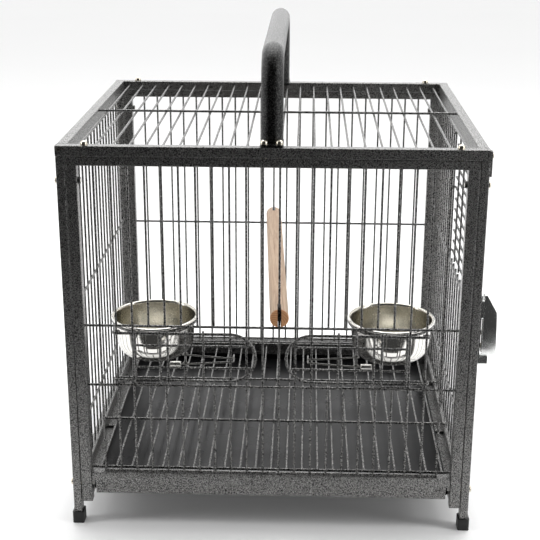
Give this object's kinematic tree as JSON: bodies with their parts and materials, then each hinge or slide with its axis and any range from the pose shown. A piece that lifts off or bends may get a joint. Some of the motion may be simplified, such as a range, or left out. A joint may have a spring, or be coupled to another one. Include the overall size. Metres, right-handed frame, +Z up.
{
  "type": "bird cage",
  "caption": "Portable bird cage of square tubes and round wires, with swing-out feeder doors and steel cups, a wooden perch, a slide-out tray, a mesh side door and a carrying handle.",
  "frame": {"origin": "on the floor, under the centre of the bounding box of the whole cage with its latch hanging down", "axes": "+Z up, +X to the right of a person who faces the feeder doors, +Y from the feeder doors to the rear"},
  "size_m": [0.5028, 0.4512, 0.581],
  "materials": {
    "frame_paint": "gloss charcoal and silver hammertone paint",
    "wire_paint": "gloss charcoal and silver hammertone paint on wire",
    "tray_paint": "semi-gloss black paint",
    "foot_rubber": "matte black rubber",
    "cup_steel": "polished stainless steel",
    "latch_steel": "polished and lightly brushed stainless steel",
    "bolt_nickel": "bright nickel plate",
    "pin_steel": "bright drawn wire",
    "perch_wood": "sanded beech",
    "plug_plastic": "matte black plastic"
  },
  "bodies": {
    "cage": {"top_frame": "frame_paint", "top_wires": "wire_paint", "front_frame": "frame_paint", "front_grille": "wire_paint", "rear_frame": "frame_paint", "rear_grille": "wire_paint", "left_frame": "frame_paint", "left_grille": "wire_paint", "right_frame": "frame_paint", "right_grille": "wire_paint", "floor_grate": "wire_paint", "grate_ledges": "wire_paint", "tray_supports": "wire_paint", "tray_runners": "frame_paint", "foot_caps": "foot_rubber", "handle": "frame_paint", "handle_feet": "frame_paint", "handle_bolts": "bolt_nickel", "top_bolts": "bolt_nickel", "corner_bolts": "bolt_nickel", "corner_nuts": "bolt_nickel", "spacer_washers": "bolt_nickel", "end_plugs": "plug_plastic", "vent_eyelet": "bolt_nickel", "latch_plate": "latch_steel", "latch_screws": "bolt_nickel", "corner_strap": "frame_paint", "strap_screw": "bolt_nickel"},
    "tray": {"tray": "tray_paint", "tray_front": "frame_paint", "tray_screws": "bolt_nickel"},
    "feeder_door_right": {"feeder_door_right": "wire_paint", "cup_hanger_right": "wire_paint"},
    "feeder_door_left": {"feeder_door_left": "wire_paint", "cup_hanger_left": "wire_paint"},
    "cup_right": {"cup_right": "cup_steel"},
    "cup_left": {"cup_left": "cup_steel"},
    "hairpin_right": {"hairpin_right": "pin_steel", "ferrule_right": "pin_steel"},
    "hairpin_left": {"hairpin_left": "pin_steel", "ferrule_left": "pin_steel"},
    "perch": {"perch": "perch_wood"},
    "side_door": {"side_door": "wire_paint"},
    "side_latch": {"latch_lever": "latch_steel", "latch_cam": "latch_steel", "latch_spindle": "latch_steel"}
  },
  "joints": [
    {"name": "tray_slide", "type": "slide", "parent": "cage", "child": "tray", "axis": [0, -1, 0], "range_m": [0, 0.36]},
    {"name": "feeder_door_right_swing", "type": "hinge", "parent": "cage", "child": "feeder_door_right", "pos_m": [0.1719, -0.21307, 0.22], "axis": [0, 0, 1], "range_deg": [0, 130]},
    {"name": "feeder_door_left_swing", "type": "hinge", "parent": "cage", "child": "feeder_door_left", "pos_m": [-0.1891, -0.21307, 0.22], "axis": [0, 0, -1], "range_deg": [0, 130]},
    {"name": "cup_right_lift", "type": "slide", "parent": "feeder_door_right", "child": "cup_right", "axis": [0, 0, 1], "range_m": [0, 0.05]},
    {"name": "cup_left_lift", "type": "slide", "parent": "feeder_door_left", "child": "cup_left", "axis": [0, 0, 1], "range_m": [0, 0.05]},
    {"name": "hairpin_right_turn", "type": "hinge", "parent": "feeder_door_right", "child": "hairpin_right", "pos_m": [0.0909, -0.21957, 0.22], "axis": [0, 0, 1], "range_deg": [0, 80]},
    {"name": "hairpin_left_turn", "type": "hinge", "parent": "feeder_door_left", "child": "hairpin_left", "pos_m": [-0.1081, -0.21957, 0.22], "axis": [0, 0, -1], "range_deg": [0, 80]},
    {"name": "perch_lift", "type": "slide", "parent": "cage", "child": "perch", "axis": [0, 0, 1], "range_m": [0, 0.15]},
    {"name": "side_door_swing", "type": "hinge", "parent": "cage", "child": "side_door", "pos_m": [0.2254, 0.03504, 0.357], "axis": [0, 0, 1], "range_deg": [0, 110]},
    {"name": "side_latch_turn", "type": "hinge", "parent": "cage", "child": "side_latch", "pos_m": [0.2326, -0.21307, 0.292], "axis": [1, 0, 0], "range_deg": [0, 90]}
  ]
}
